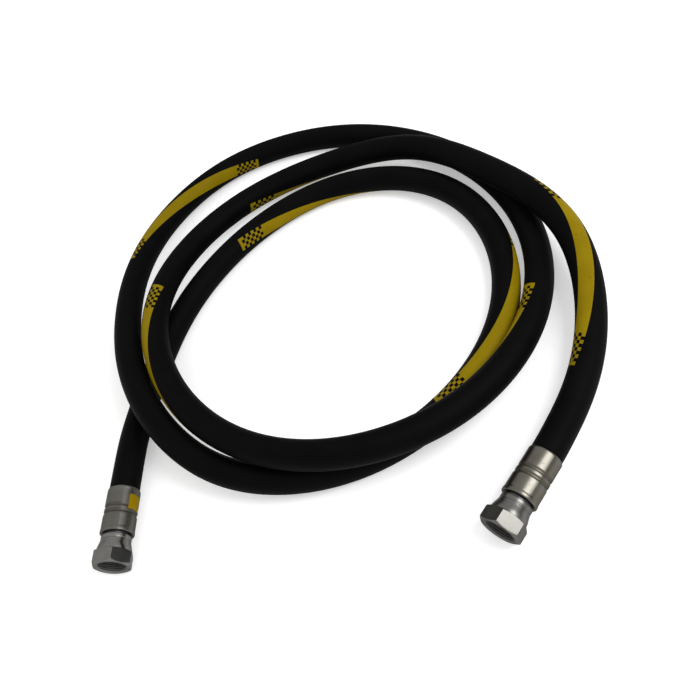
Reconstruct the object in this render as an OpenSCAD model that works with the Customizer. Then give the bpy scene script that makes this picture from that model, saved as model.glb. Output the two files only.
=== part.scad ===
// Hydraulic hose assembly: a wire-braided rubber hose lying in a loose coil on the floor,
// with a crimped coupling and a swivel nut at each end.  Millimetres, +Z up, floor at Z = 0.
// The origin is on the floor below the middle of the two couplings, which face -Y.
// Along each coupling, lengths are counted from the ferrule's rear rim, where the cover ends.

/* [Hose] */
// Outside diameter of the rubber cover
hose_od = 27; // [25:0.1:27.5]
// Thickness of the rubber cover
cover_wall = 1.4; // [1:0.1:1.8]
// Thickness of the steel wire braid
braid_wall = 0.8; // [0.5:0.1:1.2]
// Diameter of the hose bore
hose_bore = 19; // [18:0.1:19.5]

/* [Where the couplings lie] */
// Left ferrule's rear rim, distance to the left of the origin
left_reach = 184.1; // [170:0.1:200]
// Left ferrule's rear rim, distance behind the origin
left_back = 48.2; // [40:0.1:60]
// Direction that the left coupling points in, in degrees
left_azimuth = -90; // [-100:1:-80]
// Right ferrule's rear rim, distance to the right of the origin
right_reach = 191.1; // [180:0.1:205]
// Right ferrule's rear rim, distance behind the origin
right_back = 16.2; // [5:0.1:30]
// Direction that the right coupling points in, in degrees
right_azimuth = -129; // [-140:1:-118]

/* [Ferrule] */
// Length of the crimped ferrule
ferrule_length = 42.5; // [38:0.5:50]
// Wall of the ferrule over the braid
ferrule_wall = 2.4; // [1.2:0.1:3]
// Thickness of the ferrule's front wall
ferrule_front_wall = 3; // [2:0.5:5]
// How much the front half stands proud of the rear half
ferrule_front_step = 0.2; // [0.1:0.1:0.8]
// How much the front lip stands proud of the rear half
ferrule_lip_step = 0.5; // [0.3:0.1:1.5]
// Rounding of the ferrule's front lip
ferrule_lip_rounding = 1; // [0.5:0.1:1.5]
// Chamfer of the ferrule's rear rim
ferrule_rim_chamfer = 0.5; // [0.2:0.1:1]
// Distance from the rear rim to the middle of the first groove
ferrule_groove_start = 17.9; // [14:0.1:20]
// Distance between the middles of the two grooves
ferrule_groove_pitch = 5.7; // [5:0.1:10]
// Width of each groove
ferrule_groove_width = 3.4; // [1:0.1:4]
// Depth of each groove
ferrule_groove_depth = 0.5; // [0.2:0.1:0.8]

/* [Insert] */
// Diameter of the passage through the insert
fluid_bore = 15; // [12:0.5:16]
// Distance from the rear rim to the tip of the insert's tail
tail_recess = 3; // [1:0.5:6]
// Number of barbs on the tail
barb_count = 6; // [3:1:10]
// Depth of the barbs
barb_depth = 0.5; // [0.2:0.1:0.9]
// Share of each barb's length that is its ramp
barb_ramp = 0.8; // [0.6:0.05:0.85]
// Share of each barb's length that is its crest
barb_crest = 0.1; // [0.05:0.05:0.1]
// Thickness of the flange that the hose ends against
flange_length = 1; // [0.5:0.1:2]
// Diameter of the land that the ferrule's front wall is crimped on
lock_od = 20; // [19.7:0.1:20.5]
// Diameter of the collar in front of the ferrule
insert_collar_od = 22; // [22:0.1:24.5]
// Length of the collar in front of the ferrule
insert_collar_length = 1.6; // [1.5:0.1:4]
// Diameter of the spigot that the nut turns on
spigot_od = 21; // [20.6:0.1:21.6]
// Length of the spigot that the nut turns on
spigot_length = 13; // [12.8:0.1:13.6]
// Diameter of the 60 degree cone's tip
nose_od = 18; // [17.4:0.1:18.2]
// Thickness of the seal ring in the cone
seal_section = 1.5; // [1:0.1:1.7]
// How far the seal ring stands out of the cone
seal_proud = 0.3; // [0.1:0.1:0.5]
// Thickness of the wire that holds the nut on
wire_d = 1.8; // [1.4:0.1:2]
// Distance from the nut's rear face to the middle of the wire
wire_setback = 2; // [1.8:0.1:2.4]

/* [Swivel nut] */
// Width of the nut across its flats
nut_af = 31.75; // [30:0.25:36]
// Length of the nut
nut_length = 27; // [25:0.1:30]
// Length of the hexagon
nut_hex_length = 13; // [12:0.1:14]
// Diameter of the nut's collar
nut_collar_od = 26.4; // [25:0.1:27]
// Distance from the nut's rear face to the first groove round its collar
nut_groove_start = 3; // [2:0.1:4]
// Distance from the first groove round the collar to the second
nut_groove_pitch = 5.1; // [3:0.1:5.5]
// Width of the grooves round the collar
nut_groove_width = 1.8; // [1:0.1:2]
// Depth of the grooves round the collar
nut_groove_depth = 0.3; // [0.2:0.1:0.5]
// Rounding of the collar's rear edge
nut_collar_rounding = 0.8; // [0.4:0.1:1.2]
// Length of the land between the second groove and the flare
nut_land = 0.4; // [0.2:0.1:0.6]
// Radius of the flare between the collar and the hexagon
nut_flare = 10; // [9:0.5:20]
// Chamfer on the hexagon's corners, measured along the nut
nut_corner_chamfer = 1.5; // [1:0.1:3]
// How far the chamfer cuts into the flats at each end
nut_flat_chamfer = 0.5; // [0.4:0.1:1]
// Minor diameter of the G 3/4 thread
thread_minor_d = 24.12; // [23.8:0.02:24.4]
// Chamfer of the nut's mouth
mouth_chamfer = 1.3; // [0.5:0.1:1.6]
// Diameter of the relief behind the thread
relief_d = 26.6; // [26.5:0.1:27]
// Turn of the left nut: a corner's angle from straight up, in degrees
left_nut_turn = 27; // [-30:1:30]
// Turn of the right nut: a corner's angle from straight up, in degrees
right_nut_turn = -2; // [-30:1:30]

/* [Label] */
// Distance from the left ferrule's rear rim to the label
label_start = 7.5; // [3:0.5:8]
// Length of the label along the ferrule
label_length = 14; // [8:0.5:15]
// Angle from straight up to the label's near edge, in degrees
label_turn = 56; // [0:1:90]
// Angle that the label covers, in degrees
label_sweep = 57; // [20:1:90]
// Thickness of the label
label_thickness = 0.3; // [0.2:0.1:0.5]

/* [Clearances] */
// Gap round pieces that are crimped or seated together
seat_clearance = 0.05; // [0.02:0.01:0.1]
// Radial gap between the nut and the spigot it turns on
running_clearance = 0.05; // [0.02:0.01:0.1]
// Gap between the nut and the retaining wire
wire_clearance = 0.15; // [0.1:0.01:0.2]
// Gap between the nut's rear face and the insert's collar
nut_end_gap = 0.3; // [0.2:0.05:0.5]
// Gap between the tip of the cone and the first thread
thread_gap = 0.3; // [0.2:0.1:0.6]
// How far the spigot reaches into the relief behind the thread
relief_lead = 0.2; // [0.1:0.1:0.4]
// How deep the hose's flat underside lets it sink into the floor's level
floor_flat = 0.14; // [0:0.02:0.3]

/* [Hidden] */

// Curves of the turned pieces
$fn = 72;
arc_steps = 6;

// Radii of the hose's layers
hose_r = hose_od / 2;
braid_r = hose_r - cover_wall;
tube_r = braid_r - braid_wall;
bore_r = hose_bore / 2;

// Radii of the ferrule
ferrule_bore_r = braid_r + seat_clearance;
ferrule_r = ferrule_bore_r + ferrule_wall;
ferrule_front_r = ferrule_r + ferrule_front_step;
ferrule_lip_r = ferrule_r + ferrule_lip_step;
lip_length = 2 * ferrule_lip_rounding;

// Radii of the insert, and its stations counted from the ferrule's rear rim
fluid_r = fluid_bore / 2;
flange_r = braid_r;
lock_r = lock_od / 2;
insert_collar_r = insert_collar_od / 2;
spigot_r = spigot_od / 2;
nose_r = nose_od / 2;
flange_end = ferrule_length - ferrule_front_wall;
hose_end = flange_end - flange_length;
collar_end = ferrule_length + insert_collar_length;
spigot_end = collar_end + spigot_length;
cone_half_angle = 30;
nose_end = spigot_end + (spigot_r - nose_r) / tan(cone_half_angle);

// The seal ring's middle: half way up the cone, sunk so that it stands proud by seal_proud
seal_sink = seal_section / 2 - seal_proud;
seal_ring_r = (spigot_r + nose_r) / 2 - seal_sink * cos(cone_half_angle);
seal_station = (spigot_end + nose_end) / 2 - seal_sink * sin(cone_half_angle);

// Radii and stations of the nut
nut_start = collar_end + nut_end_gap;
nut_end = nut_start + nut_length;
hex_start = nut_end - nut_hex_length;
nut_collar_r = nut_collar_od / 2;
nut_corner_r = nut_af / 2 / cos(30);
nut_bore_r = spigot_r + running_clearance;
wire_station = nut_start + wire_setback;
thread_r = thread_minor_d / 2;
relief_start = spigot_end - relief_lead;
thread_start = nose_end + thread_gap;
flare_start = nut_start + nut_groove_start + nut_groove_pitch + nut_groove_width + nut_land;
flare_sweep = asin((hex_start - flare_start) / nut_flare);

// Each coupling's place: the axis is as high as the nut's lowest corner needs
function nut_height(turn) = nut_corner_r * max([for (k = [0:5]) -cos(turn + 60 * k)]);
function heading(azimuth) = [cos(azimuth), sin(azimuth), 0];
left_mouth = [-left_reach, left_back, nut_height(left_nut_turn)];
right_mouth = [right_reach, right_back, nut_height(right_nut_turn)];

// The hose's route, from the right coupling round the coil to the left one.
// A twelfth of a turn lies between two rows of the coil.  Each row holds the guide's distance
// from the coil's middle and its lift, which is 0 where the hose lies on the floor and about
// 30 where it lies on another turn.
sides = 10;
coil_middle = [20.3, 240.7];
coil_start = -30;
coil_step = 30;
coil_rows = [
    [269, 4], [248, 26], [196, 31], [207, 20], [203, 3], [201, 6],
    [199, 15], [195, 30], [194, 30], [202, 27], [217, 34], [220, 24],
    [215, 9], [212, 0], [215, 0], [230, 1], [265, 0], [293, 2],
    [270, 8], [226, 28], [224, 32], [233, 9], [215, 0], [198, 0],
    [186, 0], [178, 0], [175, 5], [171, 3], [162, 1], [152, 1],
    [158, 0], [184, 0], [237, 0]];
right_lead = 16.5;
left_lead = 41.5;
rings_per_row = 2;

// The hose's middle lies this high, with a flat side of its outline on the floor
lying_height = hose_r * cos(180 / sides) - floor_flat;

function coil_guide(k) = let (row = coil_rows[k], a = coil_start + coil_step * k)
    [coil_middle.x + row[0] * cos(a), coil_middle.y + row[0] * sin(a), lying_height + row[1]];
guides = concat(
    [right_mouth, right_mouth - right_lead * heading(right_azimuth)],
    [for (k = [0:len(coil_rows) - 1]) coil_guide(k)],
    [left_mouth - left_lead * heading(left_azimuth), left_mouth]);
last_guide = len(guides) - 1;
knots = concat([2 * guides[0] - guides[1]], guides, [2 * guides[last_guide] - guides[last_guide - 1]]);

// A smooth cubic curve that the guides draw along, and its direction
function on_curve(k, u) = (pow(1 - u, 3) * knots[k]
    + (3 * pow(u, 3) - 6 * pow(u, 2) + 4) * knots[k + 1]
    + (-3 * pow(u, 3) + 3 * pow(u, 2) + 3 * u + 1) * knots[k + 2]
    + pow(u, 3) * knots[k + 3]) / 6;
function slope(k, u) = (-pow(1 - u, 2) * knots[k]
    + (3 * pow(u, 2) - 4 * u) * knots[k + 1]
    + (-3 * pow(u, 2) + 2 * u + 1) * knots[k + 2]
    + pow(u, 2) * knots[k + 3]) / 2;
function unit(v) = v / norm(v);

// Stations along the curve, as [place, direction]
stations = [
    for (k = [0:last_guide - 1], j = [0:rings_per_row - 1])
        let (u = j / rings_per_row) [on_curve(k, u), unit(slope(k, u))],
    [left_mouth, heading(left_azimuth)]];

// The same stations, with straight ends that run into the ferrules for a length of lead
function hose_stations(lead) = lead == 0 ? stations : concat(
    [[right_mouth + lead * heading(right_azimuth), -heading(right_azimuth)]],
    stations,
    [[left_mouth + lead * heading(left_azimuth), heading(left_azimuth)]]);

// One ring of points round a station, with a flat side down and none of it below the floor
function ring(station, r) =
    let (across = unit(cross(station[1], [0, 0, 1])), up = cross(across, station[1]))
    [for (k = [0:sides - 1])
        let (a = -90 + (k + 0.5) * 360 / sides,
             p = station[0] + r * (cos(a) * across + sin(a) * up))
        [p.x, p.y, max(p.z, 0)]];

// A polygon of this radius has its flat sides on a circle of radius r
function round_r(r) = r / cos(180 / sides);

// Two triangles for each side between ring i and ring j, which start at points a and b
function band(a, b, outward) = [
    for (k = [0:sides - 1])
        let (n = (k + 1) % sides)
        each outward
            ? [[a + k, b + k, b + n], [a + k, b + n, a + n]]
            : [[a + k, b + n, b + k], [a + k, a + n, b + n]]];

// One layer of the hose, swept along the stations with open ends
module hose_layer(outer_r, inner_r, lead) {
    path = hose_stations(lead);
    rings = len(path);
    inside = rings * sides;
    points = [
        for (station = path) each ring(station, outer_r),
        for (station = path) each ring(station, inner_r)];
    faces = [
        for (i = [0:rings - 2]) each band(i * sides, (i + 1) * sides, true),
        for (i = [0:rings - 2]) each band(inside + i * sides, inside + (i + 1) * sides, false),
        each band(inside, 0, true),
        each band(inside + (rings - 1) * sides, (rings - 1) * sides, false)];
    polyhedron(points = points, faces = faces, convexity = 10);
}

// Measures the least gap between two turns, and the hose's length, on points along its middle
module measure_hose() {
    samples_per_ring = 8;
    apart = 3 * samples_per_ring;
    samples = [
        for (i = [0:len(stations) - 2], j = [0:samples_per_ring - 1])
            stations[i][0] + (stations[i + 1][0] - stations[i][0]) * j / samples_per_ring];
    least = min([
        for (i = [0:len(samples) - apart - 1], j = [i + apart:len(samples) - 1])
            norm(samples[i] - samples[j])]);
    steps = [for (i = [1:len(samples) - 1]) norm(samples[i] - samples[i - 1])];
    echo(least_gap_between_turns = least - hose_od);
    echo(length_of_hose = 2 * hose_end + steps * [for (step = steps) 1]);
}

function arc(middle, r, from, to) = [
    for (i = [0:arc_steps])
        let (a = from + (to - from) * i / arc_steps)
        middle + r * [cos(a), sin(a)]];

// Puts a piece that is built along +Z from the rear rim on its coupling's axis
module on_left() translate(left_mouth) rotate([0, 90, left_azimuth]) children();
module on_right() translate(right_mouth) rotate([0, 90, right_azimuth]) children();

// A ring of round wire about the coupling's axis
module round_ring(middle_r, station, section_r)
    rotate_extrude()
        translate([middle_r, station])
            circle(r = section_r, $fn = 24);

// A groove round the ferrule, with the radii that it lies between
function groove(middle, r_before, r_after) = [
    [r_before, middle - ferrule_groove_width / 2],
    [r_before - ferrule_groove_depth, middle - ferrule_groove_width / 4],
    [r_before - ferrule_groove_depth, middle + ferrule_groove_width / 4],
    [r_after, middle + ferrule_groove_width / 2]];

module ferrule() {
    color([0.66, 0.66, 0.63])
        rotate_extrude()
            polygon(concat(
                [[ferrule_bore_r, 0], [ferrule_r - ferrule_rim_chamfer, 0], [ferrule_r, ferrule_rim_chamfer]],
                groove(ferrule_groove_start, ferrule_r, ferrule_r),
                groove(ferrule_groove_start + ferrule_groove_pitch, ferrule_r, ferrule_front_r),
                [[ferrule_front_r, ferrule_length - lip_length - ferrule_lip_rounding]],
                arc([ferrule_lip_r - ferrule_lip_rounding, ferrule_length - ferrule_lip_rounding],
                    ferrule_lip_rounding, 0, 90),
                [[lock_r + seat_clearance, ferrule_length],
                 [lock_r + seat_clearance, flange_end],
                 [ferrule_bore_r, flange_end]]));
}

module insert() {
    barb_pitch = (hose_end - tail_recess) / barb_count;
    color([0.6, 0.6, 0.58])
        difference() {
            rotate_extrude()
                polygon(concat(
                    [[fluid_r, tail_recess]],
                    [for (i = [0:barb_count - 1])
                        let (start = tail_recess + i * barb_pitch)
                        each [[bore_r - barb_depth, start],
                              [bore_r, start + barb_pitch * barb_ramp],
                              [bore_r, start + barb_pitch * (barb_ramp + barb_crest)]]],
                    [[bore_r - barb_depth, hose_end],
                     [flange_r, hose_end], [flange_r, flange_end],
                     [lock_r, flange_end], [lock_r, ferrule_length],
                     [insert_collar_r, ferrule_length], [insert_collar_r, collar_end],
                     [spigot_r, collar_end], [spigot_r, spigot_end],
                     [nose_r, nose_end], [fluid_r, nose_end]]));
            round_ring(spigot_r, wire_station, wire_d / 2 + seat_clearance);
            round_ring(seal_ring_r, seal_station, seal_section / 2 + seat_clearance);
        }
}

module cone_seal() {
    color([0.08, 0.08, 0.09]) round_ring(seal_ring_r, seal_station, seal_section / 2);
}

module retaining_wire() {
    color([0.5, 0.5, 0.5]) round_ring(spigot_r, wire_station, wire_d / 2);
}

// The hexagon, with its corners turned away at both ends.  The turned shape reaches past the
// corners, so that its own edges stay off them.
module nut_hexagon(turn) {
    past_corners = 1.5;
    end_r = nut_af / 2 - nut_flat_chamfer;
    turned_r = end_r + past_corners * (nut_corner_r - end_r);
    turned_chamfer = past_corners * nut_corner_chamfer;
    intersection() {
        translate([0, 0, hex_start])
            rotate(-turn)
                cylinder(r = nut_corner_r, h = nut_hex_length, $fn = 6);
        rotate_extrude()
            polygon([
                [0, hex_start], [end_r, hex_start],
                [turned_r, hex_start + turned_chamfer], [turned_r, nut_end - turned_chamfer],
                [end_r, nut_end], [0, nut_end]]);
    }
}

// A groove round the collar, which starts at a station along the nut
function collar_groove(start) = [
    [nut_collar_r, start],
    [nut_collar_r - nut_groove_depth, start + nut_groove_width / 3],
    [nut_collar_r - nut_groove_depth, start + nut_groove_width * 2 / 3],
    [nut_collar_r, start + nut_groove_width]];

// The collar, with two grooves round it and a flare up to the hexagon
module nut_collar() {
    rotate_extrude()
        polygon(concat(
            [[0, nut_start]],
            arc([nut_collar_r - nut_collar_rounding, nut_start + nut_collar_rounding],
                nut_collar_rounding, -90, 0),
            [for (i = [0, 1]) each collar_groove(nut_start + nut_groove_start + i * nut_groove_pitch)],
            arc([nut_collar_r + nut_flare, flare_start], nut_flare, 180, 180 - flare_sweep),
            [[0, hex_start]]));
}

module swivel_nut(turn) {
    color([0.72, 0.71, 0.7])
        difference() {
            union() {
                nut_hexagon(turn);
                nut_collar();
            }
            rotate_extrude()
                polygon([
                    [0, nut_start - 1], [nut_bore_r, nut_start - 1],
                    [nut_bore_r, relief_start], [relief_d / 2, relief_start],
                    [relief_d / 2, thread_start], [thread_r, thread_start],
                    [thread_r, nut_end - mouth_chamfer], [thread_r + mouth_chamfer, nut_end],
                    [thread_r + mouth_chamfer, nut_end + 1], [0, nut_end + 1]]);
            round_ring(spigot_r, wire_station, wire_d / 2 + wire_clearance);
        }
}

// A sticker bent round the rear half of the ferrule
module label() {
    color([0.62, 0.5, 0.03])
        rotate(180 - label_turn - label_sweep)
            rotate_extrude(angle = label_sweep)
                translate([ferrule_r, label_start])
                    square([label_thickness, label_length]);
}

module hose_cover() color([0.05, 0.05, 0.05]) hose_layer(hose_r, braid_r, 0);
module wire_braid() color([0.55, 0.55, 0.52]) hose_layer(braid_r, tube_r, hose_end);
module inner_tube() color([0.1, 0.1, 0.1]) hose_layer(tube_r, round_r(bore_r), hose_end);

measure_hose();
hose_cover();
wire_braid();
inner_tube();
on_left() ferrule();  // left_ferrule
on_left() insert();  // left_insert
on_left() cone_seal();  // left_cone_seal
on_left() retaining_wire();  // left_retaining_wire
on_left() swivel_nut(left_nut_turn);  // left_swivel_nut
on_left() label();  // left_label
on_right() ferrule();  // right_ferrule
on_right() insert();  // right_insert
on_right() cone_seal();  // right_cone_seal
on_right() retaining_wire();  // right_retaining_wire
on_right() swivel_nut(right_nut_turn);  // right_swivel_nut
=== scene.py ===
"""Hydraulic hose assembly in a loose coil: a printed rubber hose with a crimped ferrule and a
swivel nut on each end, on a plain white floor.

Lengths are in metres.  Along a coupling, stations are counted from the ferrule's rear rim.
"""

import math

import bpy
import numpy as np
from mathutils import Matrix, Vector


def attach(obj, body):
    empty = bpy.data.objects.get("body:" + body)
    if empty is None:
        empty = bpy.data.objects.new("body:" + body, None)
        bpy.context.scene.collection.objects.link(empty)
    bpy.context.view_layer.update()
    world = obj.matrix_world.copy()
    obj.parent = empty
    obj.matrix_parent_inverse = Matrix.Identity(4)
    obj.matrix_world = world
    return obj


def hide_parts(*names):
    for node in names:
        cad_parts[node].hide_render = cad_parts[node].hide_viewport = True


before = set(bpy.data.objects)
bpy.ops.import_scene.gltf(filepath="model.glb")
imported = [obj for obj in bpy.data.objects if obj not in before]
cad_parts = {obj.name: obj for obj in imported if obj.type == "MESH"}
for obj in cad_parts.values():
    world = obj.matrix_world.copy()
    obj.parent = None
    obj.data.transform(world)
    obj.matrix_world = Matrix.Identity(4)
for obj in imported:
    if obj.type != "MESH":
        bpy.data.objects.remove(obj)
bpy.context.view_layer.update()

MM = 0.001
UP = np.array([0.0, 0.0, 1.0])


def put_in_scene(name, data):
    """An object at the origin that holds the data."""
    thing = bpy.data.objects.new(name, data)
    bpy.context.scene.collection.objects.link(thing)
    return thing


# ---------------------------------------------------------------- camera

# The lens and its sensor are in millimetres.
LENS = 36.75
SENSOR_WIDTH = 36.0
CAMERA_PLACE = (0.17745, -0.24636, 0.54025)
CAMERA_LOOKS = (-0.2098, 0.5974, -0.7740)
CAMERA_TOP = (0.1912, 0.8014, 0.5667)


def place_camera():
    """A camera without shift.  Its axes are its right, its top and the way back from what it
    looks at, squared up from the two directions given."""
    lens = bpy.data.cameras.new("camera")
    lens.lens = LENS
    lens.sensor_width = SENSOR_WIDTH
    lens.clip_end = 50.0
    camera = put_in_scene("camera", lens)
    looks = Vector(CAMERA_LOOKS).normalized()
    right = looks.cross(Vector(CAMERA_TOP)).normalized()
    top = right.cross(looks)
    turn = Matrix((right, top, -looks)).transposed()
    camera.matrix_world = Matrix.Translation(CAMERA_PLACE) @ turn.to_4x4()
    bpy.context.scene.camera = camera


place_camera()


# ---------------------------------------------------------------- surfaces on grids

SHARP_EDGE = math.radians(35)


def skin(name, points, material, pattern=None):
    """A closed skin over a grid of points: rows run along the piece and columns round it, and
    each runs back into its first.  pattern holds each grid corner's place on the material, with
    one row and one column more than the grid, so that it doesn't jump where the grid closes.
    The faces are turned outwards by the sign of the volume that they enclose."""
    rows, columns = points.shape[:2]
    i, j = np.meshgrid(np.arange(rows), np.arange(columns), indexing="ij")
    next_i, next_j = (i + 1) % rows, (j + 1) % columns
    faces = np.stack(
        [i * columns + j, i * columns + next_j, next_i * columns + next_j, next_i * columns + j],
        axis=-1,
    ).reshape(-1, 4)
    flat = points.reshape(-1, 3)
    a, b, c, d = (flat[faces[:, k]] for k in range(4))
    volume = np.sum(a * (np.cross(b, c) + np.cross(c, d)))
    order = [0, 1, 2, 3] if volume > 0 else [3, 2, 1, 0]
    mesh = bpy.data.meshes.new(name)
    mesh.from_pydata(flat, [], faces[:, order])
    if pattern is not None:
        corners = np.stack(
            [pattern[i, j], pattern[i, j + 1], pattern[i + 1, j + 1], pattern[i + 1, j]], axis=-2
        ).reshape(-1, 4, 2)
        layer = mesh.uv_layers.new(name="print")
        layer.data.foreach_set("uv", corners[:, order].astype(np.float32).ravel())
    mesh.shade_smooth()
    mesh.set_sharp_from_angle(angle=SHARP_EDGE)
    mesh.materials.append(material)
    return put_in_scene(name, mesh)


# ---------------------------------------------------------------- shader maths


class Number:
    """A value that varies over a surface.  Arithmetic on it adds Math nodes, and colours and
    vectors are carried in it too."""

    def __init__(self, nodes, socket):
        self.nodes = nodes
        self.socket = socket

    def math(self, operation, *values):
        """A Math node on the values, or on this one alone."""
        return self.nodes.node("Math", {"operation": operation}, values or [self])

    def __add__(self, other):
        return self.math("ADD", self, other)

    __radd__ = __add__

    def __sub__(self, other):
        return self.math("SUBTRACT", self, other)

    def __rsub__(self, other):
        return self.math("SUBTRACT", other, self)

    def __mul__(self, other):
        return self.math("MULTIPLY", self, other)

    __rmul__ = __mul__

    def __truediv__(self, other):
        return self.math("DIVIDE", self, other)

    def __lt__(self, other):
        return self.math("LESS_THAN", self, other)

    def __gt__(self, other):
        return self.math("GREATER_THAN", self, other)

    def __mod__(self, other):
        return self.math("FLOORED_MODULO", self, other)

    def __abs__(self):
        return self.math("ABSOLUTE")

    def least(self, other):
        return self.math("MINIMUM", self, other)

    def most(self, other):
        return self.math("MAXIMUM", self, other)

    def sine(self):
        return self.math("SINE")

    def floor(self):
        return self.math("FLOOR")

    def sign(self):
        return self.math("SIGN")

    def step(self, low, high):
        """0 below low and 1 above high, with a smooth rise between them."""
        return self.nodes.node(
            "MapRange", {"interpolation_type": "SMOOTHSTEP"}, [self, low, high, 0.0, 1.0]
        )


class Nodes:
    """A node tree, and the one method that adds nodes to it."""

    def __init__(self, tree):
        self.tree = tree

    def join(self, slot, value):
        """Links a Number to a socket, and sets any other value on it."""
        if isinstance(value, Number):
            self.tree.links.new(value.socket, slot)
        else:
            slot.default_value = value

    def node(self, kind, settings, values=(), output=0):
        """Adds a node, sets what it is, then gives its sockets their values or links, in order
        or by key, and returns one of its outputs."""
        node = self.tree.nodes.new("ShaderNode" + kind)
        for key, value in settings.items():
            setattr(node, key, value)
        pairs = values.items() if isinstance(values, dict) else enumerate(values)
        for key, value in pairs:
            self.join(node.inputs[key], value)
        return Number(self, node.outputs[output])


class Finish(Nodes):
    """A material with one Principled shader.  What is even over the surface is given by name."""

    def __init__(self, name, **even):
        self.material = bpy.data.materials.new(name)
        self.material.use_nodes = True
        super().__init__(self.material.node_tree)
        self.shader = self.tree.nodes["Principled BSDF"]
        self.feed(even)

    def feed(self, values):
        """Sets or links the shader's sockets by name, with _ for a space."""
        for name, value in values.items():
            self.join(self.shader.inputs[name.replace("_", " ")], value)

    def blend(self, factor, first, second):
        """A colour that goes from first to second as factor goes from 0 to 1.  The Mix node's
        colour sockets go by number, because their names repeat."""
        return self.node(
            "Mix", {"data_type": "RGBA"}, {0: factor, 6: first, 7: second}, output=2
        )

    def place(self):
        """The place on the object, in its own coordinates."""
        return self.node("TexCoord", {}, output="Object")

    def pattern(self):
        """The two coordinates that the piece's grid was given."""
        where = self.node("UVMap", {"uv_map": "print"})
        return [self.node("SeparateXYZ", {}, [where], output=axis) for axis in "XY"]

    def along_axis(self, where, mouth, azimuth):
        """The station and the radius of a place on a coupling."""
        offset = self.node("VectorMath", {"operation": "SUBTRACT"}, [where, mouth])
        station = self.node(
            "VectorMath", {"operation": "DOT_PRODUCT"}, [offset, heading(azimuth)], output="Value"
        )
        distance = self.node("VectorMath", {"operation": "LENGTH"}, [offset], output="Value")
        return station, (distance * distance - station * station).most(0.0).math("SQRT")

    def noise(self, where, scale, detail=2.0, rough=0.5):
        """Noise with a middle of 0.5."""
        return self.node(
            "TexNoise", {},
            {"Vector": where, "Scale": scale, "Detail": detail, "Roughness": rough},
        )

    def relief(self, height, depth):
        """A bump as deep as depth metres for a height of 1."""
        return self.node("Bump", {}, {"Height": height, "Distance": depth, "Strength": 1.0})


def grey(level, warm=0.0):
    """A grey of that level, with blue lowered by the share warm and red raised a little."""
    return (level * (1 + 0.4 * warm), level, level * (1 - warm), 1.0)


# ---------------------------------------------------------------- the hose's route

HOSE_R = 13.5 * MM
BRAID_R = 12.1 * MM
BORE_R = 9.5 * MM
HOSE_IN_FERRULE = 38.5 * MM
LYING_HEIGHT = 12.70 * MM

# A coupling's mouth is the middle of its ferrule's rear rim, where the cover ends.  Its azimuth
# is the way that the coupling points, and the line's next guide stands its lead behind the mouth.
LEFT_MOUTH = np.array([-0.1841, 0.0482, 0.01633])
LEFT_AZIMUTH = math.radians(-90)
RIGHT_MOUTH = np.array([0.1911, 0.0162, 0.01832])
RIGHT_AZIMUTH = math.radians(-129)
LEFT_LEAD = 41.5 * MM
RIGHT_LEAD = 16.5 * MM

# A twelfth of a turn lies between two rows of the coil.  Each row holds the guide's distance
# from the coil's middle and its lift above lying on the floor.
COIL_MIDDLE = (0.0203, 0.2407)
COIL_START = math.radians(-30)
COIL_STEP = math.radians(30)
SPAN_SAMPLES = 60
COIL_ROWS = np.array([
    (0.269, 0.004), (0.248, 0.026), (0.196, 0.031), (0.207, 0.020), (0.203, 0.003),
    (0.201, 0.006), (0.199, 0.015), (0.195, 0.030), (0.194, 0.030), (0.202, 0.027),
    (0.217, 0.034), (0.220, 0.024), (0.215, 0.009), (0.212, 0.000), (0.215, 0.000),
    (0.230, 0.001), (0.265, 0.000), (0.293, 0.002), (0.270, 0.008), (0.226, 0.028),
    (0.224, 0.032), (0.233, 0.009), (0.215, 0.000), (0.198, 0.000), (0.186, 0.000),
    (0.178, 0.000), (0.175, 0.005), (0.171, 0.003), (0.162, 0.001), (0.152, 0.001),
    (0.158, 0.000), (0.184, 0.000), (0.237, 0.000),
])

# Where the print lies.  Each row holds a length along the hose, the print's own position there,
# and the angle of its middle line round the hose in degrees, which winds about once in 0.64 m.
PRINT_RUN = np.array([
    (-0.040, -0.155, 224), (0.115, 0.000, 131), (0.260, 0.150, 47), (0.645, 0.525, -150),
    (0.872, 0.750, -280), (1.022, 0.900, -378), (1.402, 1.275, -577), (1.971, 1.875, -906),
    (2.130, 2.025, -1003), (2.728, 2.625, -1344), (2.880, 2.775, -1430), (3.241, 3.150, -1639),
    (3.630, 3.540, -1850),
])

# One repeat of the print, and the parts that it is made of
PRINT_REPEAT = 0.375
BAND_LENGTH = 0.150
BLOCK_LENGTH = 0.032
BLOCK_COLUMNS = 9
BLOCK_ROWS = 4
BAND_HALF_WIDTH = 0.0072
PRINT_LEAN = 0.0234
BARE_PLACE = 0.262

HOSE_COLUMNS = 64
HOSE_RING_GAP = 3.6 * MM
HOSE_RINGS_START = 3.0 * MM
BORE_RINGS = 180

# The cover's rounded rim, as distances from its edge and radii
COVER_RIM = np.array([
    (0.0, BRAID_R), (0.05 * MM, HOSE_R - 0.6 * MM), (0.25 * MM, HOSE_R - 0.2 * MM),
    (0.6 * MM, HOSE_R),
])


def heading(azimuth):
    """The level direction at an azimuth."""
    return np.array([math.cos(azimuth), math.sin(azimuth), 0.0])


def unit(vectors):
    """Each vector over its own length."""
    return vectors / np.linalg.norm(vectors, axis=-1, keepdims=True)


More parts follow.
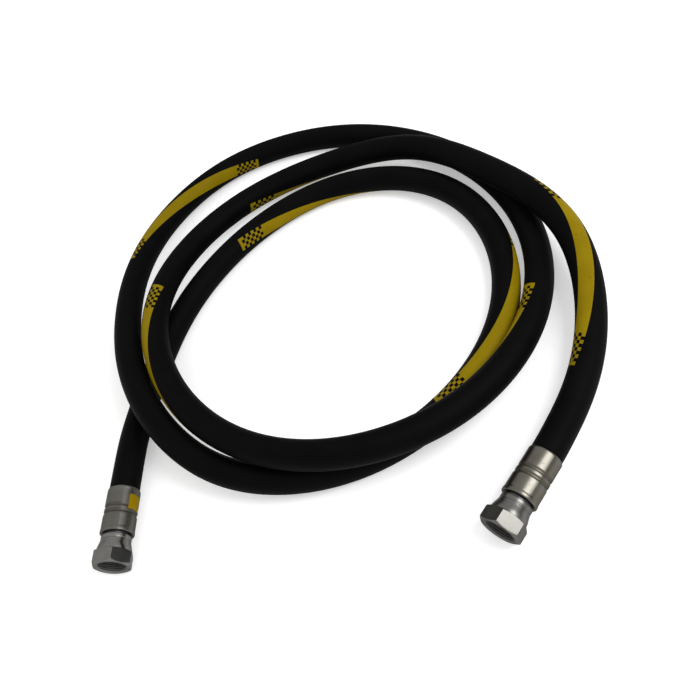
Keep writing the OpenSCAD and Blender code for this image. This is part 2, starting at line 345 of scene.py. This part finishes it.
def hose_line():
    """A uniform cubic B-spline along the guides.  It starts at the first guide and ends at the
    last, because a mirrored guide stands before and after them.  Returns places and directions
    at equal shares of each span, and the length up to each place."""
    turn = COIL_START + COIL_STEP * np.arange(len(COIL_ROWS))
    coil = np.stack([
        COIL_MIDDLE[0] + COIL_ROWS[:, 0] * np.cos(turn),
        COIL_MIDDLE[1] + COIL_ROWS[:, 0] * np.sin(turn),
        LYING_HEIGHT + COIL_ROWS[:, 1],
    ], axis=1)
    guides = np.vstack([
        RIGHT_MOUTH, RIGHT_MOUTH - RIGHT_LEAD * heading(RIGHT_AZIMUTH),
        coil,
        LEFT_MOUTH - LEFT_LEAD * heading(LEFT_AZIMUTH), LEFT_MOUTH,
    ])
    knots = np.vstack([2 * guides[0] - guides[1], guides, 2 * guides[-1] - guides[-2]])
    u = np.linspace(0, 1, SPAN_SAMPLES, endpoint=False)[None, :, None]
    k0, k1, k2, k3 = (knots[n:len(knots) - 3 + n, None, :] for n in range(4))
    place = ((1 - u) ** 3 * k0 + (3 * u**3 - 6 * u**2 + 4) * k1
             + (-3 * u**3 + 3 * u**2 + 3 * u + 1) * k2 + u**3 * k3) / 6
    slope = (-(1 - u) ** 2 * k0 + (3 * u**2 - 4 * u) * k1
             + (-3 * u**2 + 2 * u + 1) * k2 + u**2 * k3) / 2
    place = np.vstack([place.reshape(-1, 3), guides[-1:]])
    slope = np.vstack([slope.reshape(-1, 3), heading(LEFT_AZIMUTH)[None]])
    length = np.concatenate([[0], np.cumsum(np.linalg.norm(np.diff(place, axis=0), axis=1))])
    return place, unit(slope), length


LINE_PLACE, LINE_SLOPE, LINE_LENGTH = hose_line()
HOSE_LENGTH = LINE_LENGTH[-1]


def along_hose(s):
    """The place and direction at lengths s from the right ferrule's rim.  Before 0 and past the
    hose's length the line runs on straight."""
    inside = np.clip(s, 0, HOSE_LENGTH)
    place = np.stack([np.interp(inside, LINE_LENGTH, LINE_PLACE[:, k]) for k in range(3)], axis=-1)
    slope = unit(
        np.stack([np.interp(inside, LINE_LENGTH, LINE_SLOPE[:, k]) for k in range(3)], axis=-1)
    )
    return place + (s - inside)[:, None] * slope, slope


def hose_grid():
    """A profile of (length, radius) carried along the hose's line: out along the cover with its
    rims rounded, in along the bare braid, and back through the bore.  Each ring stands square
    to the line, and what would sink under the floor is pressed flat on it.
    Returns the points, and for each grid corner the print's position and the share of a turn
    from its middle line.  The bore holds a bare part of the print."""
    end = HOSE_LENGTH + HOSE_IN_FERRULE
    outside = np.arange(HOSE_RINGS_START, HOSE_LENGTH - HOSE_RINGS_START, HOSE_RING_GAP)
    inside = np.linspace(end, -HOSE_IN_FERRULE, BORE_RINGS)
    profile = np.vstack([
        [(-HOSE_IN_FERRULE, BRAID_R)],
        COVER_RIM,
        np.stack([outside, np.full(len(outside), HOSE_R)], axis=1),
        (COVER_RIM * (-1, 1) + (HOSE_LENGTH, 0))[::-1],
        [(end, BRAID_R)],
        np.stack([inside, np.full(len(inside), BORE_R)], axis=1),
    ])
    place, slope = along_hose(profile[:, 0])
    across = unit(np.cross(slope, UP))
    up = np.cross(across, slope)
    angle = 2 * math.pi * (np.arange(HOSE_COLUMNS) + 0.5) / HOSE_COLUMNS - math.pi / 2
    radial = (np.cos(angle)[None, :, None] * across[:, None]
              + np.sin(angle)[None, :, None] * up[:, None])
    points = place[:, None] + profile[:, 1, None, None] * radial
    points[..., 2] = np.maximum(points[..., 2], 0)
    turn = angle[0] + 2 * math.pi * np.arange(HOSE_COLUMNS + 1) / HOSE_COLUMNS
    s = np.append(profile[:, 0], profile[0, 0])
    cover = np.append(profile[:, 1], BRAID_R) > BORE_R
    run = np.where(cover, np.interp(s, PRINT_RUN[:, 0], PRINT_RUN[:, 1]), BARE_PLACE)
    twist = np.interp(s, PRINT_RUN[:, 0], PRINT_RUN[:, 2]) / 360
    pattern = np.stack(
        np.broadcast_arrays(run[:, None], turn[None, :] / (2 * math.pi) - twist[:, None]), axis=-1
    )
    return points, pattern


# ---------------------------------------------------------------- the couplings' sizes

AXES = {"left": (LEFT_MOUTH, LEFT_AZIMUTH), "right": (RIGHT_MOUTH, RIGHT_AZIMUTH)}

# The share of a groove's width that is its floor
GROOVE_FLOOR = 0.35

# Stations along a coupling
FERRULE_END = 42.5 * MM
NUT_START = 44.4 * MM
HEX_START = 58.4 * MM
NUT_END = 71.4 * MM

FERRULE_R = 14.55 * MM
FERRULE_BORE_R = 12.15 * MM
FERRULE_FRONT_WALL = 3.0 * MM
LAND_BORE_R = 10.05 * MM
FRONT_STEP = 0.2 * MM
LIP_STEP = 0.3 * MM
LIP_LENGTH = 2.6 * MM
LIP_SLOPE = 1.5 * MM
FERRULE_GROOVES = (18.2 * MM, 24.0 * MM)
FERRULE_GROOVE_WIDTH = 3.4 * MM
FERRULE_GROOVE_DEPTH = 0.5 * MM
FERRULE_COLUMNS = 192
FERRULE_ROWS = np.arange(1.9 * MM, FERRULE_END - 1.2 * MM, 0.35 * MM)
EDGE_BREAK = 0.3 * MM

# A rim's rounding is given by its length and its drop, and by where its rows stand.
REAR_RIM = (1.8 * MM, 0.9 * MM)
REAR_RIM_ROWS = np.array([0.0, 0.03, 0.12, 0.27, 0.5, 0.8, 1.15, 1.5]) * MM
FRONT_RIM = (1.0 * MM, 1.0 * MM)
FRONT_RIM_ROWS = np.array([0.0, 0.03, 0.1, 0.22, 0.4, 0.65, 0.95]) * MM

# The dies' flats start softly at the rear rim and fade towards the front wall.  Across a die,
# the curve is the power of the flat's cosine, and the ridge is what stands between two dies.
CRIMP_DIES = 8
CRIMP_CURVE = 0.6
CRIMP_RIDGE = 0.45
CRIMP_RUN_IN = 4.0 * MM
CRIMP_FADE = 0.8
CRIMP_FADE_START = 37.0 * MM
CRIMP_FADE_LENGTH = 3.0 * MM

ACROSS_FLATS = 31.75 * MM
CORNER_R = ACROSS_FLATS / 2 / math.cos(math.pi / 6)
CORNER_ROUNDING = 0.35 * MM
CORNER_CHAMFER = 1.5 * MM
HEX_END_R = 15.375 * MM

# Points round a corner and along a flat, and rows up a flat, with both ends
CORNER_POINTS = 7
FLAT_POINTS = 22
FLAT_ROWS = 9

COLLAR_R = 13.2 * MM
COLLAR_ROUNDING = 0.8 * MM
COLLAR_EDGE_ROWS = NUT_START + np.array([0.0, 0.03, 0.12, 0.25, 0.42, 0.6, 0.8]) * MM
COLLAR_ROWS = np.arange(NUT_START + 1.0 * MM, HEX_START, 0.16 * MM)
COLLAR_GROOVE = 48.2 * MM
COLLAR_GROOVE_WIDTH = 1.6 * MM
COLLAR_GROOVE_DEPTH = 0.26 * MM
FLARE_START = 47.8 * MM
FLARE_END = 57.6 * MM
FLARE_RISE = 1.95 * MM

THREAD_R = 12.06 * MM
THREAD_DEPTH = 1.16 * MM
THREAD_PITCH = 25.4 / 14 * MM
THREAD_START = 60.0 * MM
THREAD_ROW_GAP = 0.13 * MM
THREAD_ROOT = 1.15
THREAD_FLANK = 1.5
THREAD_EDGE = 0.1 * MM
MOUTH_CHAMFER = 1.3 * MM
MOUTH_EDGE = 0.05 * MM
FACE_EDGE = 0.6 * MM
RELIEF_R = 13.3 * MM
RELIEF_START = 56.9 * MM
NUT_BORE_R = 10.55 * MM
NUT_BORE_EDGE = 0.2 * MM
NUT_REAR_CHAMFER = (0.3 * MM, 0.4 * MM)
WIRE_STATION = 46.4 * MM
WIRE_GROOVE_R = 1.05 * MM
WIRE_GROOVE_POINTS = 11

# The sticker's ends are stations, and its sides are degrees round from straight down.  It sags
# into the grooves, and its top, rim and underside are heights over the steel.
STICKER_ENDS = (7.5 * MM, 21.5 * MM)
STICKER_SIDES = (67, 124)
STICKER_ROWS = 24
STICKER_COLUMNS = 40
STICKER_SAG = 0.1 * MM
STICKER_TOP = 0.25 * MM
STICKER_RIM = 0.12 * MM
STICKER_UNDERSIDE = 0.02 * MM


# ---------------------------------------------------------------- finishes

BLACK_RUBBER = (grey(0.0014), grey(0.0022))
PRINT_YELLOW = ((0.205, 0.142, 0.001, 1.0), (0.25, 0.175, 0.002, 1.0))
PRINT_RAGGED = 0.5 * MM
WEAVE_PITCH = 1.1 * MM
WEAVE_THREADS_ROUND = 77
FILM_YELLOW = ((0.225, 0.143, 0.0, 1.0), (0.255, 0.162, 0.001, 1.0))
FILM_SPECK = (0.12, 0.078, 0.004, 1.0)
FERRULE_LEVEL = 0.135
STEEL_EDGE_TINT = grey(0.45)
GRAIN_DEPTH = 0.0015 * MM
# How far the painted shade reaches from a ferrule groove's middle: full up to the first distance,
# gone by the second.
GROOVE_SHADE_REACH = (1.38 * MM, 2.76 * MM)
# The station and radius past which the nut's bore is painted lighter, as painted light, and is
# kept rougher and without grain.
THREADED_BORE = (RELIEF_START + 0.6 * MM, RELIEF_R + 0.2 * MM)


def printed_rubber():
    """Black cover rubber with the cloth wrap's weave pressed into it, and a yellow print that
    repeats: a band, a chequered block, a bare stretch and a chequered block.  A block is four
    squares wide, and its column next to the bare stretch is solid."""
    finish = Finish("printed_rubber", Specular_IOR_Level=0.04)
    where = finish.place()
    run, turns = finish.pattern()
    ragged = finish.noise(where, 900.0, detail=3.0) - 0.5
    share = (turns + 0.5) % 1.0 - 0.5
    across = share * (2 * math.pi * HOSE_R) + ragged * PRINT_RAGGED
    place = (run - share * PRINT_LEAN + ragged * PRINT_RAGGED) % PRINT_REPEAT
    half_gap = (PRINT_REPEAT - BAND_LENGTH) / 2
    from_middle = place - (BAND_LENGTH + half_gap)
    square = BLOCK_LENGTH / BLOCK_COLUMNS
    column = ((abs(from_middle) - (half_gap - BLOCK_LENGTH)) / square).floor()
    row_width = 2 * BAND_HALF_WIDTH / BLOCK_ROWS
    row = ((BAND_HALF_WIDTH - across * from_middle.sign()) / row_width).floor()
    chequers = (column > 0.5) * ((column + row) % 2.0)
    printed = (abs(across) < BAND_HALF_WIDTH) * (place < BAND_LENGTH).most(
        (abs(column) < 0.5).most(chequers)
    )
    specks = finish.noise(where, 420.0, detail=5.0, rough=0.65)
    ink = printed * (1.0 - 0.8 * specks.step(0.66, 0.72))
    cloudy = finish.noise(where, 26.0, detail=4.0)
    rubber = finish.blend(cloudy.step(0.35, 0.7), *BLACK_RUBBER)
    yellow = finish.blend(cloudy.step(0.3, 0.7), *PRINT_YELLOW)
    weave = ((run * (2 * math.pi / WEAVE_PITCH)).sine()
             * (turns * (2 * math.pi * WEAVE_THREADS_ROUND)).sine())
    fine = finish.noise(where, 1500.0, detail=2.0)
    finish.feed({
        "Base_Color": finish.blend(ink, rubber, yellow),
        "Roughness": 0.55 + 0.12 * cloudy - 0.08 * ink,
        "Normal": finish.relief(0.5 * weave + fine + 0.4 * ink, 0.03 * MM),
    })
    return finish.material


def plated_steel(name, level, rough, warm=0.11, stain=0.45, grain_share=0.5, axis=None,
                 shaded_groove_rings=(), bore=None):
    """Zinc-plated steel: soft grey with cloudy passivation, small dark stain marks and fine grain.
    level is its brightness, rough its roughness, warm the share of blue that it lacks, stain how
    dark its stain marks are, and grain_share how deep its grain is.
    axis gives a turned piece's mouth and azimuth, so that the tool's fine rings run round it.
    Round each groove station in its rings it is rougher and painted darker, as painted shade in
    the grooves.  Past the station and inside the radius of bore it has no grain or stain marks,
    is rougher, and is painted lighter, as painted light on the threaded bore's wall."""
    finish = Finish(name, Metallic=1.0, Specular_Tint=STEEL_EDGE_TINT)
    where = finish.place()
    cloudy = finish.noise(where, 70.0, detail=5.0)
    stained = finish.noise(where, 210.0, detail=6.0, rough=0.62)
    grain = finish.noise(where, 1600.0, detail=3.0)
    height, groove_shade, inside = grain_share * grain, 0.0, 0.0
    if axis is not None:
        station, radius = finish.along_axis(where, *axis)
        height = height + finish.node(
            "TexNoise", {"noise_dimensions": "1D"}, {"W": station, "Scale": 2200.0, "Detail": 2.0}
        )
        # Painted shade: round each groove's station the steel is painted darker, for the shade
        # that falls in the groove.
        for middle in shaded_groove_rings:
            groove_shade = groove_shade + (1.0 - abs(station - middle).step(*GROOVE_SHADE_REACH))
        if bore is not None:
            inside = (station > bore[0]) * (radius < bore[1])
            height = height * (1.0 - inside)
    plating = finish.blend(
        cloudy.step(0.3, 0.7), grey(0.9 * level, warm), grey(1.12 * level, 0.6 * warm)
    )
    # Real stains together with the painted shade in the ferrule's grooves.
    stains_and_groove_shade = (stain * stained.step(0.60, 0.76) + 0.5 * groove_shade).least(1.0) * (1.0 - inside)
    steel = finish.blend(stains_and_groove_shade, plating, grey(0.4 * level, 2 * warm))
    # Painted light: inside the threaded bore the steel is painted lighter, for the light that
    # falls on the bore's wall.
    if bore is not None:
        steel = finish.blend(inside, steel, grey(1.15 * level, 0.4 * warm))
    finish.feed({
        "Base_Color": steel,
        "Roughness": rough + 0.1 * (cloudy - 0.5) + 0.25 * stains_and_groove_shade + 0.35 * inside,
        "Normal": finish.relief(height, GRAIN_DEPTH),
    })
    return finish.material


def seal_rubber():
    """Black nitrile ring."""
    finish = Finish("seal_rubber")
    where = finish.place()
    cloudy = finish.noise(where, 300.0, detail=3.0)
    fine = finish.noise(where, 2500.0, detail=2.0)
    finish.feed({
        "Base_Color": finish.blend(cloudy, grey(0.006), grey(0.014)),
        "Roughness": 0.38 + 0.16 * cloudy,
        "Normal": finish.relief(fine, 0.01 * MM),
    })
    return finish.material


def yellow_film():
    """Dull yellow sticker, a little scuffed, with fine dark specks."""
    finish = Finish("yellow_film", Specular_IOR_Level=0.03)
    where = finish.place()
    cloudy = finish.noise(where, 160.0, detail=4.0)
    specks = finish.noise(where, 900.0, detail=4.0, rough=0.6)
    film = finish.blend(cloudy.step(0.3, 0.7), *FILM_YELLOW)
    finish.feed({
        "Base_Color": finish.blend(specks.step(0.70, 0.80), film, FILM_SPECK),
        "Roughness": 0.42 + 0.16 * cloudy,
        "Normal": finish.relief(specks, 0.02 * MM),
    })
    return finish.material


RUBBER = printed_rubber()
FERRULE_STEEL = {
    side: plated_steel(side + "_ferrule_plating", FERRULE_LEVEL, rough, warm, axis=AXES[side],
                       shaded_groove_rings=FERRULE_GROOVES)
    for side, rough, warm in (("left", 0.36, 0.14), ("right", 0.30, 0.18))
}
# The two nuts share one plating: the left is given a higher level and the right a lower one, as
# painted light and shade that match how each nut is lit.
NUT_STEEL = {
    side: plated_steel(side + "_nut_plating", level, rough, warm, stain=0.25, grain_share=0.2,
                       axis=AXES[side], bore=THREADED_BORE)
    for side, level, rough, warm in (("left", 0.185, 0.24, 0.06), ("right", 0.145, 0.32, 0.09))
}
INSERT_STEEL = plated_steel("insert_plating", level=0.16, rough=0.35, warm=-0.05,
                            grain_share=0.2)
WIRE_STEEL = plated_steel("spring_wire", level=0.09, rough=0.3)
SEAL = seal_rubber()
STICKER = yellow_film()


# ---------------------------------------------------------------- hose

CORD_SAMPLES = 720

points, pattern = hose_grid()
hose = skin("printed_hose", points, RUBBER, pattern)
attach(hose, "hose")
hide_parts("hose_cover", "wire_braid", "inner_tube")
hose_middle, _ = along_hose(
    np.linspace(-HOSE_IN_FERRULE, HOSE_LENGTH + HOSE_IN_FERRULE, CORD_SAMPLES)
)
HOSE_LENGTH + 2 * HOSE_IN_FERRULE


# ---------------------------------------------------------------- couplings


def ease(x):
    """0 below 0 and 1 above 1, with a smooth rise between them."""
    x = np.clip(x, 0, 1)
    return x * x * (3 - 2 * x)


def hollow(s, middle, width):
    """A soft groove: 1 on its floor, and 0 from half its width on."""
    return 1 - ease((2 * np.abs(s - middle) / width - GROOVE_FLOOR) / (1 - GROOVE_FLOOR))


def rounding(distance, length, drop):
    """How far a radius falls at a distance from an end, on a quarter of an ellipse."""
    share = np.clip(1 - distance / length, 0, 1)
    return drop * (1 - np.sqrt(1 - share**2))


def coupling_points(mouth, azimuth, station, radius, angle):
    """Grid points of a turned piece.  station and radius are given by row, or by row and column,
    and angle by column, from straight down towards the side that the azimuth's left is on."""
    side = np.array([-math.sin(azimuth), math.cos(azimuth), 0.0])
    radial = np.cos(angle)[:, None] * -UP + np.sin(angle)[:, None] * side
    station, radius = np.broadcast_arrays(station, radius)
    return mouth + station[..., None] * heading(azimuth) + radius[..., None] * radial[None]


def ferrule_radius(s, angle, turn, depth):
    """The ferrule's outside at stations s: its turned radius with a low step, a lip, two soft
    grooves and two rounded rims, less the flats that the crimping dies press.  Across one die, a
    flat is deepest in its middle, and a low ridge is left between two dies."""
    turned = (FERRULE_R
              + FRONT_STEP * ease((s - FERRULE_GROOVES[1]) / FERRULE_GROOVE_WIDTH)
              + LIP_STEP * ease((s - FERRULE_END + LIP_LENGTH + LIP_SLOPE) / LIP_SLOPE)
              - FERRULE_GROOVE_DEPTH
              * sum(hollow(s, middle, FERRULE_GROOVE_WIDTH) for middle in FERRULE_GROOVES)
              - rounding(s, *REAR_RIM)
              - rounding(FERRULE_END - s, *FRONT_RIM))
    across_die = (angle - turn) * CRIMP_DIES / (2 * math.pi) % 1 - 0.5
    flat = np.cos(math.pi * across_die) ** CRIMP_CURVE - CRIMP_RIDGE
    fade = CRIMP_FADE * ease((s - CRIMP_FADE_START) / CRIMP_FADE_LENGTH)
    pressed = ease(s / CRIMP_RUN_IN) * (1 - fade)
    return turned[:, None] - depth * pressed[:, None] * flat[None]


def ferrule_grid(mouth, azimuth, turn, depth):
    """The ferrule's closed profile: out along the crimped outside, in over the front face, and
    back along the bores."""
    angle = 2 * math.pi * np.arange(FERRULE_COLUMNS) / FERRULE_COLUMNS
    s = np.sort(np.concatenate([REAR_RIM_ROWS, FERRULE_ROWS, FERRULE_END - FRONT_RIM_ROWS]))
    wall_back = FERRULE_END - FERRULE_FRONT_WALL
    inner_profile = np.array([
        (FERRULE_END, LAND_BORE_R + EDGE_BREAK), (FERRULE_END - EDGE_BREAK, LAND_BORE_R),
        (wall_back, LAND_BORE_R), (wall_back, FERRULE_BORE_R),
        (EDGE_BREAK, FERRULE_BORE_R), (0.0, FERRULE_BORE_R + EDGE_BREAK),
    ])
    inner = np.repeat(inner_profile[:, 1:], FERRULE_COLUMNS, axis=1)
    station = np.concatenate([s, inner_profile[:, 0]])
    radius = np.vstack([ferrule_radius(s, angle, turn, depth), inner])
    return coupling_points(mouth, azimuth, station[:, None], radius, angle)


def hexagon_columns(turn):
    """The outline of a hexagon with rounded corners as polar angles and radii.  On each sixth a
    corner's arc, through sixty degrees, is followed by points along the flat."""
    arc_middle = CORNER_R - CORNER_ROUNDING / math.cos(math.pi / 6)
    swing = np.radians(np.linspace(-30, 30, CORNER_POINTS))
    arc = np.stack(
        [arc_middle + CORNER_ROUNDING * np.cos(swing), CORNER_ROUNDING * np.sin(swing)], axis=1
    )
    sixth = math.pi / 3
    next_start = np.array([arc[0, 0] * math.cos(sixth) - arc[0, 1] * math.sin(sixth),
                           arc[0, 0] * math.sin(sixth) + arc[0, 1] * math.cos(sixth)])
    share = np.linspace(0, 1, FLAT_POINTS)[1:-1, None]
    outline = np.vstack([arc, arc[-1] + share * (next_start - arc[-1])])
    angle = np.arctan2(outline[:, 1], outline[:, 0])
    radius = np.hypot(outline[:, 0], outline[:, 1])
    angles = (angle[None] + sixth * np.arange(6)[:, None]).ravel() - turn
    return angles, np.tile(radius, 6)


def collar_rows():
    """The nut's rear face and collar: a rounded edge, a soft groove and the bell-shaped flare,
    which rises smoothly to the hexagon.  Returns stations and radii."""
    s = np.concatenate([COLLAR_EDGE_ROWS, COLLAR_ROWS, [HEX_START]])
    radius = (COLLAR_R
              - rounding(s - NUT_START, COLLAR_ROUNDING, COLLAR_ROUNDING)
              - COLLAR_GROOVE_DEPTH * hollow(s, COLLAR_GROOVE, COLLAR_GROOVE_WIDTH)
              + FLARE_RISE * ease((s - FLARE_START) / (FLARE_END - FLARE_START)))
    return np.insert(s, 0, NUT_START), np.insert(radius, 0, NUT_BORE_R + NUT_REAR_CHAMFER[1])


def hexagon_rows(hexagon):
    """The hexagon between the two cones that turn its corners away: shares of the way up each
    cone, and of the way along the flats.  Returns stations and radii by row and column."""
    soft = 0.1 * MM
    climb = CORNER_CHAMFER / (CORNER_R - HEX_END_R)
    edge = (hexagon - HEX_END_R) * climb
    end_r = np.full_like(hexagon, HEX_END_R)
    cone = [(np.zeros_like(edge), end_r - soft), (np.full_like(edge, soft * climb), end_r + soft)]
    cone += [(share * edge, end_r + share * (hexagon - end_r)) for share in (0.35, 0.7)]
    cone += [(edge - soft * climb, hexagon - soft), (edge + soft, hexagon)]
    rows = [(HEX_START + s, r) for s, r in cone]
    rows += [(HEX_START + edge + share * (NUT_END - HEX_START - 2 * edge), hexagon)
             for share in np.linspace(0, 1, FLAT_ROWS)[1:-1]]
    rows += [(NUT_END - s, r) for s, r in cone[::-1]]
    return np.array([row[0] for row in rows]), np.array([row[1] for row in rows])


def thread_rows(angle):
    """The mouth and the thread: a ridge that winds one pitch a turn at the minor radius, over
    roots one thread's depth further out, widened to a cone in the mouth's chamfer.  The phase
    goes from -1 to 1 over a pitch, with the root at 0 and the ridge at both ends."""
    s = np.arange(NUT_END - MOUTH_EDGE, THREAD_START, -THREAD_ROW_GAP)
    phase = ((s[:, None] / THREAD_PITCH - angle / (2 * math.pi)) % 1) * 2 - 1
    radius = THREAD_R + THREAD_DEPTH * ease(THREAD_ROOT - THREAD_FLANK * np.abs(phase))
    chamfer = THREAD_R + np.maximum(0, s - NUT_END + MOUTH_CHAMFER)
    return s, np.maximum(radius, chamfer[:, None])


def nut_grid(mouth, azimuth, turn):
    """The nut's closed profile: the collar, the hexagon, the flat front face, the mouth and the
    thread, the relief, and the bore with the retaining wire's groove."""
    angle, hexagon = hexagon_columns(turn)
    columns = len(angle)
    swing = np.linspace(0, math.pi, WIRE_GROOVE_POINTS)
    bore = np.vstack([
        [(THREAD_START - THREAD_EDGE, RELIEF_R - THREAD_EDGE),
         (THREAD_START - EDGE_BREAK, RELIEF_R),
         (RELIEF_START + EDGE_BREAK, RELIEF_R), (RELIEF_START, RELIEF_R - EDGE_BREAK),
         (RELIEF_START, NUT_BORE_R + NUT_BORE_EDGE), (RELIEF_START - NUT_BORE_EDGE, NUT_BORE_R)],
        np.stack([WIRE_STATION + WIRE_GROOVE_R * np.cos(swing),
                  NUT_BORE_R + WIRE_GROOVE_R * np.sin(swing)], axis=1),
        [(NUT_START + NUT_REAR_CHAMFER[0], NUT_BORE_R)],
    ])
    face = np.array([HEX_END_R - FACE_EDGE, THREAD_R + MOUTH_CHAMFER + MOUTH_EDGE])
    parts = [
        collar_rows(), hexagon_rows(hexagon), (np.full(2, NUT_END), face), thread_rows(angle),
        bore.T,
    ]
    station, radius = (
        np.vstack([
            part if part.ndim == 2 else np.repeat(part[:, None], columns, axis=1)
            for part in (np.asarray(pair[k]) for pair in parts)
        ])
        for k in (0, 1)
    )
    return coupling_points(mouth, azimuth, station, radius, angle)


def sticker_grid(mouth, azimuth, crimp_turn, crimp_depth):
    """A thin sticker on the ferrule: its upper side lies over the crimped outside and bridges
    the grooves, its lower side lies just above the steel, and its rim is lower than the rest."""
    span = np.radians(np.linspace(*STICKER_SIDES, STICKER_COLUMNS))
    s = np.linspace(*STICKER_ENDS, STICKER_ROWS)
    base = ferrule_radius(s, span, crimp_turn, crimp_depth)
    base = np.maximum(base, base.max(axis=0) - STICKER_SAG)
    lift = np.full((STICKER_ROWS, STICKER_COLUMNS), STICKER_RIM)
    lift[1:-1, 1:-1] = STICKER_TOP
    upper = coupling_points(mouth, azimuth, s[:, None], base + lift, span)
    lower = coupling_points(mouth, azimuth, s[:, None], base + STICKER_UNDERSIDE, span)
    return np.concatenate([upper, lower[:, ::-1]], axis=1)


# Each coupling's nut and crimp are turned round its axis, and its crimp has its own depth.
NUT_TURN = {"left": math.radians(27), "right": math.radians(-2)}
CRIMP = {"left": (math.radians(12), 0.4 * MM), "right": (math.radians(5), 0.22 * MM)}

for side, axis in AXES.items():
    ferrule = skin(side + "_crimped_ferrule", ferrule_grid(*axis, *CRIMP[side]),
                   FERRULE_STEEL[side])
    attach(ferrule, "hose")
    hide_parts(side + "_ferrule")
    nut = skin(side + "_threaded_nut", nut_grid(*axis, NUT_TURN[side]), NUT_STEEL[side])
    nut.modifiers.new("even_flats", "WEIGHTED_NORMAL").keep_sharp = True
    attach(nut, side + "_nut")
    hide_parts(side + "_swivel_nut")

sticker = skin("yellow_sticker", sticker_grid(*AXES["left"], *CRIMP["left"]), STICKER)
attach(sticker, "hose")
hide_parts("left_label")


def finish_node(node, material):
    """Gives a CAD part its finish in each of its material slots."""
    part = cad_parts[node]
    for slot in part.material_slots:
        slot.material = material


for side in AXES:
    finish_node(side + "_insert", INSERT_STEEL)
    finish_node(side + "_cone_seal", SEAL)
    finish_node(side + "_retaining_wire", WIRE_STEEL)


# ---------------------------------------------------------------- floor and light

WORLD_LEVEL = 0.82
FLOOR_REACH = 12.0
FLOOR_GLOW = 0.38
MIRRORED_GLOW = 0.10
SCREEN_REACH = 2.5
SCREEN_HEIGHT = 0.75
SCREEN_SIDES = (-15, 140)
SCREEN_POSTS = 32
LAMP_PLACE = (1.03, -0.05, 1.235)
LAMP_AIM = (0.17, -0.02, 0.02)
LAMP_SIZE = 0.75
LAMP_POWER = 13.0


def white_floor():
    """A large plain floor.  The camera, reflections and glass see it a little brighter than its
    paint, so that it is white round the object and keeps its soft shadow."""
    mesh = bpy.data.meshes.new("floor")
    corners = FLOOR_REACH * np.array([(-1, -1, 0), (1, -1, 0), (1, 1, 0), (-1, 1, 0)])
    mesh.from_pydata(corners, [], [(0, 1, 2, 3)])
    paint = Finish("floor_paint", Roughness=0.9, Specular_IOR_Level=0.0,
                   Base_Color=grey(0.85), Emission_Color=grey(1.0))
    camera, glossy, glass = (
        paint.node("LightPath", {}, output="Is %s Ray" % kind)
        for kind in ("Camera", "Glossy", "Transmission")
    )
    paint.feed({"Emission_Strength": FLOOR_GLOW * camera + MIRRORED_GLOW * glossy.most(glass)})
    mesh.materials.append(paint.material)
    put_in_scene("floor", mesh)


def dark_surround():
    """A low dark screen beyond the object, for reflections only: an upright arc round the origin
    from one azimuth to another, in degrees.  It gives bright metal the dark edge of a room, and
    neither the camera nor the light meets it."""
    azimuth = np.radians(np.linspace(*SCREEN_SIDES, SCREEN_POSTS))
    foot = SCREEN_REACH * np.stack([np.cos(azimuth), np.sin(azimuth), 0 * azimuth], axis=1)
    points = np.vstack([foot, foot + SCREEN_HEIGHT * UP])
    panels = [(k, k + 1, k + 1 + SCREEN_POSTS, k + SCREEN_POSTS) for k in range(SCREEN_POSTS - 1)]
    mesh = bpy.data.meshes.new("dark_screen")
    mesh.from_pydata(points, [], panels)
    screen = put_in_scene("dark_screen", mesh)
    cloth = Finish("dark_cloth", Roughness=1.0, Specular_IOR_Level=0.0, Base_Color=grey(0.02))
    mesh.materials.append(cloth.material)
    for sight in ("camera", "diffuse", "shadow", "transmission"):
        setattr(screen, "visible_" + sight, False)


def studio_light():
    """One soft lamp and an even pale world, which the camera sees as white."""
    world = bpy.data.worlds.new("studio")
    bpy.context.scene.world = world
    world.use_nodes = True
    backdrop = world.node_tree.nodes["Background"]
    backdrop.inputs["Color"].default_value = (1, 1, 1, 1)
    sky = Nodes(world.node_tree)
    seen = sky.node("LightPath", {}, output="Is Camera Ray")
    sky.join(backdrop.inputs["Strength"], WORLD_LEVEL + (1 - WORLD_LEVEL) * seen)
    lamp = bpy.data.lights.new("soft_lamp", "AREA")
    lamp.shape = "SQUARE"
    lamp.size = LAMP_SIZE
    lamp.energy = LAMP_POWER
    stand = put_in_scene("soft_lamp", lamp)
    aim = Vector(LAMP_AIM) - Vector(LAMP_PLACE)
    stand.matrix_world = (Matrix.Translation(LAMP_PLACE)
                          @ aim.to_track_quat("-Z", "Y").to_matrix().to_4x4())


bpy.context.scene.view_settings.view_transform = "Standard"
dark_surround()
white_floor()
studio_light()
